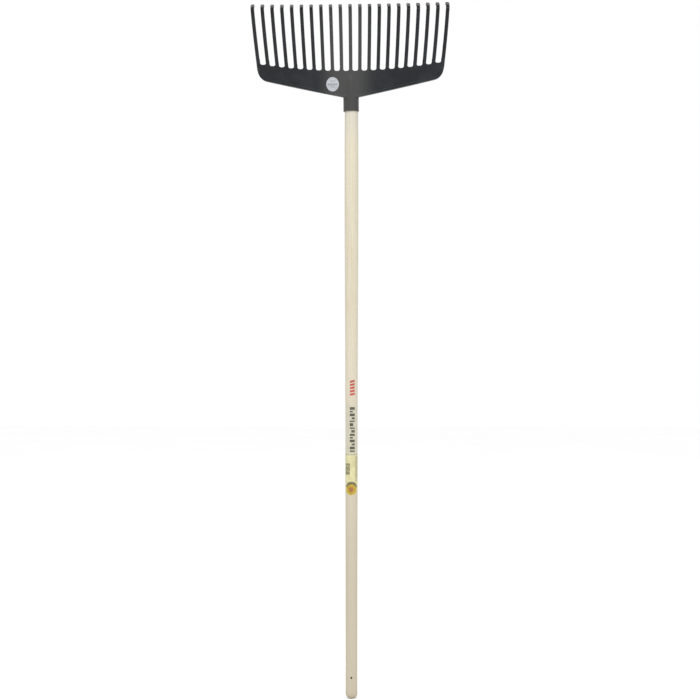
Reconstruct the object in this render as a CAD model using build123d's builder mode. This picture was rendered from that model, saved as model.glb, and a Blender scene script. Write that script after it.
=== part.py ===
"""Hay rake: a moulded 21-tine head screwed to a turned ash handle.

The origin is the middle of the handle's butt end. +Z runs along the handle to the head, +X across the
head, and the tine tips point to -Y. Sizes are millimetres.
"""

from build123d import *
from math import asin, atan, cos, radians, sin, sqrt, tan
import os

# Handle
handle_length = 1500.0  # butt end to the tip of the cone
butt_radius = 14.5
butt_round = 11.5  # rounding of the butt's rim
straight_grip = 240.0  # height up to which the handle is a plain cylinder
middle_height = 765.0
middle_radius = 15.0
swell_height = 1224.0  # where the handle is thickest
swell_radius = 16.6
hang_hole_height = 51.2
hang_hole_radius = 2.5

# Socket and the handle's cone
socket_depth = 87.0  # length of handle held in the socket
mouth_radius = 16.0  # handle radius at the socket's mouth
cone_tip_radius = 13.5
cone_tip_chamfer = 1.0
cone_clearance = 0.05  # between the cone and the socket, all round
cone_end_gap = 1.0  # above the cone's tip
socket_wall = 2.7  # at the mouth
socket_cap = 4.5  # closed end above the cone
socket_cap_round = 3.0
mouth_round = 0.8

# Plate
plate_thickness = 4.0
boss_rise = 3.75  # how far the socket stands out of the plate's front
plate_foot = 33.2  # from the socket's mouth to where the lower edge leaves the socket
lower_edge_angle = 11.6  # rise of the lower edge towards the ends
corner_radius = 28.0
wing_angle = 11.0  # how far each wing turns forward
bow_knee = 120.9  # where the wing's line meets the middle's line
bow_radius = 1048.0  # of the turn between middle and wing
rim_width = 6.5  # raised rim along the lower edge
rim_height = 1.6

# Tines
tine_pairs = 10  # on each side of the middle tine
tine_pitch = 22.1
tine_width = 8.4
tine_depth = 7.4
tine_corner = 1.9
tine_set_back = 0.2  # of the tines' fronts behind the plate's front
tine_spread = 0.0115  # sideways slope that each further tine adds
slot_floor = 96.3  # from the socket's mouth to the slot floors in the middle
slot_floor_rise = 15.5  # rise of the slot floors at the end tines
slot_corner = 4.8
tip_height = 251.2  # from the socket's mouth to the top of the middle hook
tip_drop = 2.6  # fall of the hooks' tops at the end tines
tine_root = 17.0  # length of each tine down the plate's back
curve_angle = 14.0  # gentle forward curve
curve_radius = 409.0
hook_angle = 74.0  # further turn of the hook
hook_radius = 11.0
hook_reach = 8.0  # straight end of the hook
tip_round = 2.0

# Ribs on the plate's back
rib_thickness = 3.0
rib_depth = 9.0  # behind the plate
rib_numbers = (3, 5, 7, 9)  # tines that a rib runs down from, on each side
cross_rib_drop = 15.0  # below the slot floors in the middle

# Socket screw
screw_height = 18.0  # above the socket's mouth
screw_length = 24.0
screw_radius = 2.0
screw_clearance = 0.05
screw_head_radius = 4.2
screw_head_height = 2.6
screw_seat_depth = 0.7  # flat seat cut into the socket
screw_seat_clearance = 0.4
screw_slot_width = 1.2

# Badge, printed mark, labels and seal
film = 0.2
badge_across = -43.8
badge_height = 64.2  # above the socket's mouth
badge_size = (30.2, 34.4)
mark_place = (2.6, 748.0)
mark_size = (12.5, 41.0)
name_label_ends = (586.0, 706.0)
grade_label_ends = (505.3, 585.0)
seal_height = 506.3
seal_radius = 16.6

# Worked out from the sizes above
mouth_height = handle_length - socket_depth
socket_radius = mouth_radius + socket_wall
plate_front = boss_rise - socket_radius  # in the middle of the head
cone_end = handle_length + cone_end_gap
socket_top = cone_end + socket_cap
screw_level = mouth_height + screw_height
screw_seat = socket_radius - screw_seat_depth
lower_slope = tan(radians(lower_edge_angle))
wing_turn = radians(wing_angle)
edge_height = mouth_height + plate_foot - socket_radius * lower_slope
slot_height = mouth_height + slot_floor
pitch_height = slot_height + slot_floor_rise + tine_width  # where the tines stand a pitch apart
end_place = tine_pairs * tine_pitch
half_width = end_place + tine_width / 2
side_slope = tine_pairs * tine_spread
stub_top = slot_height + slot_floor_rise + 1.5 * slot_corner
slot_arc_radius = end_place**2 / (2 * slot_floor_rise)
tip_arc_radius = end_place**2 / (2 * tip_drop)
bow_flat = bow_knee - bow_radius * tan(wing_turn / 2)
bow_bend_end = bow_flat + bow_radius * sin(wing_turn)
slab_reach = 1.3 * half_width  # how far the bowed slabs run past the plate
slab_height = tip_height


def bow_points(depth):
    """Plan corners of the bowed line that lies at a depth behind the plate's front."""
    knee = bow_knee + depth * tan(wing_turn / 2)
    middle = plate_front + depth
    end = middle - (slab_reach - knee) * tan(wing_turn)
    return [(-slab_reach, end), (-knee, middle), (knee, middle), (slab_reach, end)]


def bowed_slab(front, back):
    """Plan section of a bowed slab between two depths behind the plate's front."""
    with BuildSketch(Plane.XY.offset(mouth_height)) as section:
        with BuildLine():
            near = FilletPolyline(*bow_points(front), radius=bow_radius + front)
            far = FilletPolyline(*bow_points(back), radius=bow_radius + back)
            Line(near @ 0, far @ 0)
            Line(near @ 1, far @ 1)
        make_face()
    return section.sketch


def bow_at(place):
    """The plate's front at a place across the head, and how far it is turned there."""
    side = abs(place)
    if side <= bow_flat:
        return plate_front, 0.0
    if side <= bow_bend_end:
        turned = asin((side - bow_flat) / bow_radius)
        return plate_front - bow_radius * (1 - cos(turned)), turned
    bend_depth = bow_radius * (1 - cos(wing_turn))
    return plate_front - bend_depth - (side - bow_bend_end) * tan(wing_turn), wing_turn


def slot_floor_at(place):
    """Height of the slot floors' arc at a place across the head."""
    return slot_height + slot_arc_radius - sqrt(slot_arc_radius**2 - place**2)


def hook_top_at(place):
    """Height of the hooks' tops at a place across the head."""
    return mouth_height + tip_height - tip_arc_radius + sqrt(tip_arc_radius**2 - place**2)


def tine_place(number, height):
    """Place across the head of a tine's middle line at a height."""
    return number * (tine_pitch + (height - pitch_height) * tine_spread)


def make_tine(number):
    """One hooked tine, from its root on the plate's back to its tip."""
    root_height = slot_floor_at(number * tine_pitch) - tine_root
    place = tine_place(number, root_height)
    front, turned = bow_at(place)
    if place < 0:
        turned = -turned
    along_wing = Vector(cos(turned), -sin(turned), 0)
    forward = Vector(-sin(turned), -cos(turned), 0)
    lean = atan(number * tine_spread / cos(turned))
    up = Vector(0, 0, 1) * cos(lean) + along_wing * sin(lean)
    start = Vector(place, front, root_height) - forward * (tine_set_back + tine_depth / 2)

    curve_end = radians(curve_angle)
    hook_end = radians(curve_angle + hook_angle)
    rise = curve_radius * sin(curve_end) + hook_radius * (sin(hook_end) - sin(curve_end))
    rise += hook_reach * cos(hook_end) + tine_depth / 2
    straight = (hook_top_at(number * tine_pitch) - root_height) / cos(lean) - rise

    with BuildPart() as tine:
        with BuildLine(Plane(start, x_dir=forward, z_dir=forward.cross(up))):
            shank = Line((0, 0), (0, straight))
            bend = JernArc(shank @ 1, shank % 1, curve_radius, -curve_angle)
            hook = JernArc(bend @ 1, bend % 1, hook_radius, -hook_angle)
            Line(hook @ 1, (hook @ 1) + (hook % 1) * hook_reach)
        with BuildSketch(Plane(start, x_dir=forward, z_dir=up)):
            RectangleRounded(tine_depth, tine_width, tine_corner)
        sweep()
        fillet(tine.faces().sort_by(Axis(start, forward))[-1].edges(), tip_round)
        fillet(tine.faces().sort_by(Axis(start, up))[0].edges(), tip_round)
    return tine.part


def plate_outline():
    """Front view of the plate with a stub for each tine, before the slots are cut."""
    corner = half_width + (edge_height - pitch_height) * side_slope
    corner /= 1 - side_slope * lower_slope
    corner_height = edge_height + corner * lower_slope
    top = half_width + (stub_top - pitch_height) * side_slope
    with BuildSketch(Plane.XZ) as outline:
        with BuildLine():
            FilletPolyline(
                (top, stub_top),
                (corner, corner_height),
                (0, edge_height),
                (-corner, corner_height),
                (-top, stub_top),
                radius=[corner_radius, 0, corner_radius],
            )
            Line((-top, stub_top), (top, stub_top))
        make_face()
    return outline.sketch


def slots():
    """Front view of the gaps between neighbouring tines, rounded at their floors."""
    ceiling = stub_top + slot_corner
    half = tine_width / 2
    with BuildSketch(Plane.XZ) as gaps:
        for number in range(-tine_pairs, tine_pairs):
            floor = slot_floor_at((number + 0.5) * tine_pitch)
            left_top = (tine_place(number, ceiling) + half, ceiling)
            right_top = (tine_place(number + 1, ceiling) - half, ceiling)
            left_floor = (tine_place(number, floor) + half, floor)
            right_floor = (tine_place(number + 1, floor) - half, floor)
            with BuildLine():
                FilletPolyline(left_top, left_floor, right_floor, right_top, radius=slot_corner)
                Line(right_top, left_top)
            make_face()
    return gaps.sketch


def edge_band(width):
    """Front view of a band along the plate's lower edge, up to the end tines' roots."""
    with BuildSketch(Plane.XZ) as band:
        add(plate_outline())
        offset(plate_outline(), amount=-width, mode=Mode.SUBTRACT)
        with Locations((0, slot_height + slot_floor_rise)):
            Rectangle(3 * half_width, 2 * tine_root, mode=Mode.SUBTRACT)
    return band.sketch


def rib_bars():
    """Front view of the cross rib and of the ribs that run down from the tines."""
    with BuildSketch(Plane.XZ) as bars:
        with Locations((0, slot_height - cross_rib_drop)):
            Rectangle(2 * half_width, rib_thickness)
        for number in rib_numbers:
            place = tine_place(number, slot_height)
            with Locations((place, slot_height), (-place, slot_height)):
                Rectangle(rib_thickness, slot_floor, align=(Align.CENTER, Align.MAX))
        add(plate_outline(), mode=Mode.INTERSECT)
    return bars.sketch


def handle_side(film_layer):
    """The handle's turned side, or a line one film outside it."""
    return Spline(
        (butt_radius + film_layer, straight_grip),
        (middle_radius + film_layer, middle_height),
        (swell_radius + film_layer, swell_height),
        (mouth_radius + film_layer, mouth_height),
        tangents=[(0, 1), (-1, 100)],
    )


# Handle: a turned pole with a rounded butt, a slight swell and a cone for the socket
with BuildPart() as handle:
    with BuildSketch(Plane.XZ):
        with BuildLine():
            Polyline((0, handle_length), (0, 0), (butt_radius, 0), (butt_radius, straight_grip))
            side = handle_side(0)
            Polyline(side @ 1, (cone_tip_radius, handle_length), (0, handle_length))
        make_face()
    revolve(axis=Axis.Z)
    fillet(handle.edges().sort_by(Axis.Z)[0], butt_round)
    chamfer(handle.edges().sort_by(Axis.Z)[-1], cone_tip_chamfer)
    with BuildSketch(Plane.XZ.offset(-swell_radius)):
        with Locations((0, hang_hole_height)):
            Circle(hang_hole_radius)
    extrude(amount=2 * swell_radius, mode=Mode.SUBTRACT)
    with BuildSketch(Plane.XZ.offset(-screw_seat)):
        with Locations((0, screw_level)):
            Circle(screw_radius + screw_clearance)
    extrude(amount=screw_length + screw_clearance, mode=Mode.SUBTRACT)
handle.part.label = "handle"

# Rake head: one moulding of plate, rim, ribs, socket and tines
with BuildPart() as plate:
    extrude(bowed_slab(0, plate_thickness), amount=slab_height)
    extrude(plate_outline(), amount=slab_height, both=True, mode=Mode.INTERSECT)
    extrude(slots(), amount=slab_height, both=True, mode=Mode.SUBTRACT)

with BuildPart() as rim:
    extrude(bowed_slab(-rim_height, plate_thickness / 2), amount=slab_height)
    extrude(edge_band(rim_width), amount=slab_height, both=True, mode=Mode.INTERSECT)

with BuildPart() as edge_rib:
    extrude(bowed_slab(plate_thickness / 2, plate_thickness + rib_depth), amount=slab_height)
    extrude(edge_band(rib_thickness), amount=slab_height, both=True, mode=Mode.INTERSECT)

with BuildPart() as ribs:
    extrude(bowed_slab(plate_thickness / 2, plate_thickness + rib_depth), amount=slab_height)
    extrude(rib_bars(), amount=slab_height, both=True, mode=Mode.INTERSECT)

tines = [make_tine(number) for number in range(-tine_pairs, tine_pairs + 1)]

with BuildPart() as rake_head:
    with Locations((0, 0, mouth_height)):
        Cylinder(
            socket_radius,
            socket_top - mouth_height,
            align=(Align.CENTER, Align.CENTER, Align.MIN),
        )
    fillet(rake_head.edges().sort_by(Axis.Z)[-1], socket_cap_round)
    fillet(rake_head.edges().sort_by(Axis.Z)[0], mouth_round)
    add([plate.part, rim.part, edge_rib.part, ribs.part])
    add(tines)
    with BuildSketch(Plane.XZ):
        with BuildLine():
            Polyline(
                (0, mouth_height),
                (mouth_radius + cone_clearance, mouth_height),
                (cone_tip_radius + cone_clearance, handle_length),
                (cone_tip_radius + cone_clearance, cone_end),
                (0, cone_end),
                close=True,
            )
        make_face()
    revolve(axis=Axis.Z, mode=Mode.SUBTRACT)
    with BuildSketch(Plane.XZ.offset(-screw_seat)):
        with Locations((0, screw_level)):
            Circle(screw_head_radius + screw_seat_clearance)
    extrude(amount=-socket_wall, mode=Mode.SUBTRACT)
    with BuildSketch(Plane.XZ.offset(-socket_radius)):
        with Locations((0, screw_level)):
            Circle(screw_radius + screw_clearance)
    extrude(amount=socket_radius, mode=Mode.SUBTRACT)
rake_head.part.label = "rake_head"

# Socket screw: a pan-head wood screw through the socket's back
with BuildPart() as socket_screw:
    with BuildSketch(Plane.XZ.offset(-screw_seat)):
        with Locations((0, screw_level)):
            Circle(screw_head_radius)
    extrude(amount=-screw_head_height)
    fillet(socket_screw.edges().sort_by(Axis.Y)[-1], screw_head_height / 2)
    with BuildSketch(Plane.XZ.offset(-screw_seat)):
        with Locations((0, screw_level)):
            Circle(screw_radius)
    extrude(amount=screw_length)
    chamfer(socket_screw.edges().sort_by(Axis.Y)[0], screw_radius / 2)
    with BuildSketch(Plane.XZ.offset(-screw_seat - screw_head_height)):
        with Locations((0, screw_level)):
            Rectangle(2 * screw_radius, screw_slot_width)
            Rectangle(screw_slot_width, 2 * screw_radius)
    extrude(amount=screw_head_height / 2, mode=Mode.SUBTRACT)
socket_screw.part.label = "socket_screw"

# Badge: a thin oval sticker on the plate's front
with BuildPart() as head_badge:
    extrude(bowed_slab(-film, 0), amount=slab_height)
    with BuildSketch(Plane.XZ):
        with Locations((badge_across, mouth_height + badge_height)):
            Ellipse(badge_size[0] / 2, badge_size[1] / 2)
    extrude(amount=slab_height, both=True, mode=Mode.INTERSECT)
head_badge.part.label = "head_badge"

# Outlines of the mark, labels and seal, as seen from the front
with BuildSketch(Plane.XZ) as mark_outline:
    with Locations(mark_place):
        Rectangle(*mark_size)

with BuildSketch(Plane.XZ) as name_outline:
    with Locations((0, sum(name_label_ends) / 2)):
        Rectangle(3 * butt_radius, name_label_ends[1] - name_label_ends[0])

with BuildSketch(Plane.XZ) as seal_outline:
    with Locations((0, seal_height)):
        Ellipse(butt_radius * sin(seal_radius / butt_radius), seal_radius)

with BuildSketch(Plane.XZ) as grade_outline:
    with Locations((0, sum(grade_label_ends) / 2)):
        Rectangle(3 * butt_radius, grade_label_ends[1] - grade_label_ends[0])
    add(seal_outline.sketch, mode=Mode.SUBTRACT)


def wrapped_skin(outline):
    """A film on the handle's front with the given outline in the front view."""
    with BuildPart() as skin:
        with BuildSketch(Plane.XZ):
            with BuildLine():
                side = handle_side(film)
                Polyline(side @ 0, (0, straight_grip), (0, mouth_height), side @ 1)
            make_face()
        revolve(axis=Axis.Z)
        add(handle.part, mode=Mode.SUBTRACT)
        extrude(outline, amount=2 * swell_radius, mode=Mode.INTERSECT)
    return skin


maker_mark = wrapped_skin(mark_outline.sketch)
maker_mark.part.label = "maker_mark"

name_label = wrapped_skin(name_outline.sketch)
name_label.part.label = "name_label"

grade_label = wrapped_skin(grade_outline.sketch)
grade_label.part.label = "grade_label"

quality_seal = wrapped_skin(seal_outline.sketch)
quality_seal.part.label = "quality_seal"

os.makedirs("parts", exist_ok=True)
export_step(handle.part, "parts/handle.step")
export_step(rake_head.part, "parts/rake_head.step")
export_step(socket_screw.part, "parts/socket_screw.step")
export_step(head_badge.part, "parts/head_badge.step")
export_step(maker_mark.part, "parts/maker_mark.step")
export_step(name_label.part, "parts/name_label.step")
export_step(grade_label.part, "parts/grade_label.step")
export_step(quality_seal.part, "parts/quality_seal.step")
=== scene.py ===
"""Hay rake: the finished look of a moulded rake head on an ash handle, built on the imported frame."""

from math import asin, atan, atan2, ceil, cos, floor, pi, radians, sin, sqrt, tan

import bmesh
import bpy
from bpy.props import FloatProperty, FloatVectorProperty, IntProperty, PointerProperty
from mathutils import Matrix, Vector
from mathutils.geometry import delaunay_2d_cdt


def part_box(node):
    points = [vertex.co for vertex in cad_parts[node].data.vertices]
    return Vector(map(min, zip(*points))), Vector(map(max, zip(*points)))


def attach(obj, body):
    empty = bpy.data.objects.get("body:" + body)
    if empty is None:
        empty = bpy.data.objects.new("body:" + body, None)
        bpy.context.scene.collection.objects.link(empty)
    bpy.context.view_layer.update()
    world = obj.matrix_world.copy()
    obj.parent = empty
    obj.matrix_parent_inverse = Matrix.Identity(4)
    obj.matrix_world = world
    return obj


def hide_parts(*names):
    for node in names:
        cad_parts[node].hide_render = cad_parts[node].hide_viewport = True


bl_info = {
    "name": "Hay Rake",
    "version": (1, 0, 0),
    "blender": (4, 5, 0),
    "location": "3D View > Sidebar > Hay Rake",
    "description": "Builds a hay rake's moulded head, ash handle, badge and labels on its packed frame",
    "category": "Object",
}

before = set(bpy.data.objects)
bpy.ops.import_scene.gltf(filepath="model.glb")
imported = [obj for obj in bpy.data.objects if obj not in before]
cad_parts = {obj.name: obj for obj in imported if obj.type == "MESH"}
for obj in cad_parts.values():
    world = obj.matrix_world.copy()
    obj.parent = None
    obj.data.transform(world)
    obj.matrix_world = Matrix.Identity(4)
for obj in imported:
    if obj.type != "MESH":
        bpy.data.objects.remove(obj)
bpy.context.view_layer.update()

MM = 0.001
FULL_TURN = 2 * pi
BODY = "root"

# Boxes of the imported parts, in metres
HANDLE_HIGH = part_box("handle")[1]
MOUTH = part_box("rake_head")[0].z  # height of the socket's mouth
SCREW_LOW, SCREW_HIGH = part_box("socket_screw")
BADGE_LOW, BADGE_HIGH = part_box("head_badge")
MARK_LOW, MARK_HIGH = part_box("maker_mark")
NAME_LOW, NAME_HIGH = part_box("name_label")
GRADE_LOW, GRADE_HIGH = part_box("grade_label")
SEAL_LOW, SEAL_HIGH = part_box("quality_seal")
SCREW_LEVEL = (SCREW_LOW.z + SCREW_HIGH.z) / 2
SCREW_SHANK = 2.05 * MM  # radius of the screw's holes


# ---------------------------------------------------------------- sizes and colours a user may change


def length(name, description, default):
    """A size, with its default in millimetres."""
    return FloatProperty(
        name=name, description=description, default=default * MM, subtype="DISTANCE", unit="LENGTH"
    )


def degrees(name, description, default):
    """An angle, with its default in degrees."""
    return FloatProperty(name=name, description=description, default=radians(default), subtype="ANGLE")


def colour(name, description, default):
    """A scene-linear colour."""
    return FloatVectorProperty(
        name=name, description=description, default=default, subtype="COLOR", size=3, min=0.0, max=1.0
    )


class HandleSizes(bpy.types.PropertyGroup):
    """Sizes and colours of the turned ash handle."""

    butt_radius: length("Butt radius", "Radius of the plain lower stretch", 14.5)
    butt_round: length("Butt rounding", "Rounding of the butt's rim", 11.5)
    straight_grip: length("Straight grip", "Height up to which the handle is a plain cylinder", 240)
    middle_height: length("Middle height", "Height of the middle station", 765)
    middle_radius: length("Middle radius", "Radius at the middle station", 15.0)
    swell_height: length("Swell height", "Height where the handle is thickest", 1224)
    swell_radius: length("Swell radius", "Radius where the handle is thickest", 16.6)
    mouth_radius: length("Mouth radius", "Radius at the socket's mouth", 16)
    cone_tip_radius: length("Cone tip radius", "Radius of the cone's tip in the socket", 13.5)
    hang_hole_height: length("Hole height", "Height of the hanging hole above the butt", 51.2)
    hang_hole_radius: length("Hole radius", "Radius of the hanging hole", 2.5)
    pale: colour("Pale wood", "Colour between the grain lines", (0.53, 0.495, 0.40))
    dark: colour("Grain", "Colour of the grain lines", (0.455, 0.40, 0.295))


class HeadSizes(bpy.types.PropertyGroup):
    """Sizes and colours of the moulded head."""

    socket_wall: length("Socket wall", "Wall at the socket's mouth", 2.7)
    boss_rise: length("Boss rise", "How far the socket stands out of the plate's front", 3.75)
    plate_thickness: length("Plate thickness", "Thickness of the plate", 4)
    plate_foot: length("Plate foot", "From the mouth to where the lower edge leaves the socket", 33.2)
    lower_edge_angle: degrees("Lower edge angle", "Rise of the lower edge", 11.6)
    corner_radius: length("Corner radius", "Rounding of the plate's lower corners", 28)
    wing_angle: degrees("Wing angle", "How far each wing turns forward", 11)
    bow_knee: length("Bow knee", "Where the wing's line meets the middle's line", 120.9)
    bow_radius: length("Bow radius", "Radius of the turn between middle and wing", 1048)
    tine_pairs: IntProperty(name="Tine pairs", description="Tines on each side of the middle", default=10)
    tine_pitch: length("Tine pitch", "Distance between tines at their feet", 22.1)
    tine_width: length("Tine width", "Width across a tine", 8.4)
    tine_depth: length("Tine depth", "Depth of a tine", 7.4)
    tine_spread: FloatProperty(
        name="Tine spread", description="Sideways slope that each further tine adds", default=0.0115
    )
    slot_floor: length("Slot floor", "From the mouth to the middle slots' floors", 96.3)
    slot_floor_rise: length("Slot floor rise", "Rise of the slot floors at the end tines", 15.5)
    slot_corner: length("Slot corner", "Rounding of the slots' floors", 4.8)
    tip_height: length("Tip height", "From the mouth to the top of the middle hook", 251.2)
    tip_drop: length("Tip drop", "Fall of the hooks' tops at the end tines", 2.6)
    curve_angle: degrees("Curve", "Gentle forward turn of a tine", 14)
    curve_radius: length("Curve radius", "Radius of the gentle turn", 409)
    hook_angle: degrees("Hook", "Further turn of a tine's hook", 74)
    hook_radius: length("Hook radius", "Radius of a tine's hook", 11)
    hook_reach: length("Hook reach", "Straight end of a hook", 8)
    seat_tilt: degrees("Seat tilt", "How far the head sits out of true", 0.44)
    seat_pivot: length("Seat pivot", "Point of the handle, below the mouth, that the tilt turns about", 100)
    rib_depth: length("Rib depth", "Depth of the ribs behind the plate", 9)
    rib_thickness: length("Rib thickness", "Thickness of the ribs", 3)
    rim_width: length("Rim width", "Width of the raised rim", 6.5)
    rim_height: length("Rim height", "Height of the raised rim", 1.6)
    plastic: colour("Plastic", "Colour of the moulded plastic", (0.0085, 0.0097, 0.0115))
    # Painted highlight: this paler colour stands in for the front light's reflection round the socket
    painted_highlight: colour("Painted highlight middle", "Colour painted on the middle as a highlight", (0.041, 0.0412, 0.0405))
    # Partly painted highlight, partly wear: the paler colour of the hooks' forward-facing ends
    tip_highlight_and_wear: colour("Tip highlight and wear", "Colour of the hooks' worn ends", (0.10, 0.10, 0.098))
    bloom: colour("Bloom", "Colour of the pale bloom and dust on the plastic", (0.04, 0.042, 0.043))


class PrintSizes(bpy.types.PropertyGroup):
    """Thicknesses and colours of the badge, mark, labels and seal."""

    film: length("Film", "Thickness of a label", 0.12)
    ink: length("Ink", "Thickness of a printed mark", 0.04)
    foil: colour("Foil", "Colour of the silver badge", (0.345, 0.362, 0.383))
    foil_print: colour("Badge print", "Grey print on the badge", (0.155, 0.162, 0.175))
    red: colour("Red", "Printed mark on the wood", (0.36, 0.06, 0.045))
    black: colour("Black", "Printed bars on the labels", (0.06, 0.054, 0.035))
    tint: colour("Film tint", "Colour of the film label", (0.425, 0.406, 0.31))
    paper: colour("Paper", "Colour of the paper label", (0.507, 0.472, 0.262))
    green: colour("Green", "Dark ring of the seal", (0.045, 0.05, 0.02))
    gold: colour("Gold", "Disc of the seal", (0.38, 0.255, 0.014))
    orange: colour("Orange", "Middle of the seal", (0.29, 0.105, 0.014))


class StageSizes(bpy.types.PropertyGroup):
    """Camera, light and floor."""

    camera_distance: length("Camera distance", "From the handle's axis to the camera", 3950)
    camera_height: length("Camera height", "Camera above the butt", 838.7)
    camera_turn: degrees("Camera turn", "Camera's place round the rake", 1.5)
    view_width: length("View width", "Width that the view covers at the handle", 1687)
    aim_offset: length("Aim offset", "How far the view is aimed to the left of the handle", 3.6)
    floor: colour("Floor", "Colour of the floor", (0.985, 0.985, 0.985))


# ---------------------------------------------------------------- shared mesh helpers


def new_piece(name, verts, faces, material=None):
    """A mesh object at the origin, with its faces turned outwards."""
    mesh = bpy.data.meshes.new(name)
    mesh.from_pydata(verts, [], faces)
    turn_outwards(mesh)
    piece = bpy.data.objects.new(name, mesh)
    bpy.context.scene.collection.objects.link(piece)
    if material:
        mesh.materials.append(material)
    return piece


def turn_outwards(mesh):
    """Merges doubled points and turns the faces of closed shells outwards."""
    work = bmesh.new()
    work.from_mesh(mesh)
    bmesh.ops.remove_doubles(work, verts=work.verts, dist=1e-7)
    bmesh.ops.recalc_face_normals(work, faces=work.faces)
    if work.calc_volume(signed=True) < 0:
        bmesh.ops.reverse_faces(work, faces=work.faces)
    work.to_mesh(mesh)
    work.free()


def finish_mesh(piece, sharp=radians(38)):
    """Turns a piece with its modifiers into a plain, smooth mesh with sharp edges kept."""
    graph = bpy.context.evaluated_depsgraph_get()
    mesh = bpy.data.meshes.new_from_object(piece.evaluated_get(graph))
    old = piece.data
    piece.modifiers.clear()
    piece.data = mesh
    bpy.data.meshes.remove(old)
    mesh.name = piece.name
    mesh.shade_smooth()
    mesh.set_sharp_from_angle(angle=sharp)
    return piece


def discard(*pieces):
    """Removes helper objects."""
    for piece in pieces:
        mesh = piece.data
        bpy.data.objects.remove(piece)
        bpy.data.meshes.remove(mesh)


def combine(piece, helper, operation):
    """Adds, cuts or intersects a helper shape with a piece."""
    step = piece.modifiers.new(operation.lower(), "BOOLEAN")
    step.operation = operation
    step.solver = "MANIFOLD"
    step.object = helper


def seat(piece, sizes):
    """Turns a piece of the head with the slight tilt that it has on the handle."""
    pivot = Matrix.Translation((0, 0, MOUTH - sizes.seat_pivot))
    piece.data.transform(pivot @ Matrix.Rotation(-sizes.seat_tilt, 4, "Y") @ pivot.inverted())


def declare(piece, node=None):
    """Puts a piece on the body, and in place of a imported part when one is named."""
    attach(piece, BODY)
    if node:
        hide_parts(node)


def lathe(profile, segments):
    """Closed shape turned round the Z axis from (radius, height) points that start and end on it."""
    verts = [(0, 0, profile[0][1])]
    for radius, height in profile[1:-1]:
        for k in range(segments):
            angle = FULL_TURN * k / segments
            verts.append((radius * cos(angle), radius * sin(angle), height))
    verts.append((0, 0, profile[-1][1]))
    rings = len(profile) - 2
    faces = []
    for k in range(segments):
        after = (k + 1) % segments
        faces.append((0, 1 + after, 1 + k))
        for ring in range(rings - 1):
            here = 1 + ring * segments
            above = here + segments
            faces.append((here + k, here + after, above + after, above + k))
        top = 1 + (rings - 1) * segments
        faces.append((top + k, top + after, len(verts) - 1))
    return verts, faces


def rod(name, start, end, radius, segments=32):
    """A plain closed cylinder between two points, for cutting holes."""
    axis = Vector(end) - Vector(start)
    turn = Vector((0, 0, 1)).rotation_difference(axis)
    verts, faces = lathe([(0, 0), (radius, 0), (radius, axis.length), (0, axis.length)], segments)
    return new_piece(name, [turn @ Vector(v) + Vector(start) for v in verts], faces)


def arc(centre, radius, start, end, count):
    """Points along an arc in the front view, ends included."""
    turns = [start + (end - start) * k / count for k in range(count + 1)]
    return [(centre[0] + radius * cos(turn), centre[1] + radius * sin(turn)) for turn in turns]


def inset_loop(outline, inset):
    """The outline moved inwards. It runs anticlockwise."""
    moved = []
    for k, point in enumerate(outline):
        before, after = Vector(outline[k - 1]), Vector(outline[(k + 1) % len(outline)])
        here = Vector(point)
        first, second = (here - before).normalized(), (after - here).normalized()
        normal = Vector((-first.y - second.y, first.x + second.x)).normalized()
        stretch = max(0.5, normal.dot(Vector((-first.y, first.x))))
        moved.append(tuple(here + normal * inset / stretch))
    return moved


def inside_points(outline, across, up):
    """Grid points inside an outline, kept off its edge."""
    points = []
    low = min(z for _, z in outline)
    high = max(z for _, z in outline)
    for row in range(1, ceil((high - low) / up)):
        level = low + row * up + up * 1e-3
        crossings = []
        for k, (x_a, z_a) in enumerate(outline):
            x_b, z_b = outline[(k + 1) % len(outline)]
            if (z_a > level) != (z_b > level):
                crossings.append(x_a + (x_b - x_a) * (level - z_a) / (z_b - z_a))
        crossings.sort()
        for left, right in zip(crossings[::2], crossings[1::2]):
            for column in range(ceil(left / across), floor(right / across) + 1):
                place = column * across
                if left + across / 2 < place < right - across / 2:
                    points.append((place, level))
    return points


def slab(outline, front, back, edge, across, up, steps=3):
    """Closed slab over an anticlockwise front-view outline, with rounded edges.

    front and back give the two faces' Y at a place; the tips of its rounded edges lie on the outline.
    """
    turns = [pi / 2 * k / steps for k in range(steps + 1)]
    loops = []
    for face, way, order in ((front, 1, reversed(turns)), (back, -1, turns)):
        for turn in order:
            ring = inset_loop(outline, edge * (1 - cos(turn))) if turn else outline
            drop = way * edge * (1 - sin(turn))
            loops.append([(x, face(x, z) + drop, z) for x, z in ring])
    count = len(outline)
    verts = [point for loop in loops for point in loop]
    faces = []
    for ring in range(len(loops) - 1):
        for k in range(count):
            after = (k + 1) % count
            low, high = ring * count, (ring + 1) * count
            faces.append((low + k, low + after, high + after, high + k))

    inner = [(x, z) for x, _, z in loops[0]]
    extra = inside_points(inner, across, up)
    flat = [Vector(point) for point in inner + extra]
    edges = [(k, (k + 1) % count) for k in range(count)]
    places, _, cells, origins, _, _ = delaunay_2d_cdt(flat, edges, [], 1, 1e-9)
    last = (len(loops) - 1) * count
    for face_loop, depth in ((0, front), (last, back)):
        index = {}
        for cell in cells:
            corner = []
            for k in cell:
                if k not in index:
                    first = [origin for origin in origins[k] if origin < count]
                    if first:
                        index[k] = face_loop + first[0]
                    else:
                        x, z = places[k]
                        index[k] = len(verts)
                        verts.append((x, depth(x, z), z))
                corner.append(index[k])
            faces.append(tuple(corner))
    return verts, faces


# ---------------------------------------------------------------- geometry node trees


def tree_socket(tree, name, kind, default=None, output=False):
    """Adds a named input or output to a node group."""
    socket = tree.interface.new_socket(name=name, in_out="OUTPUT" if output else "INPUT", socket_type=kind)
    if default is not None:
        socket.default_value = default
    return socket


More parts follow.
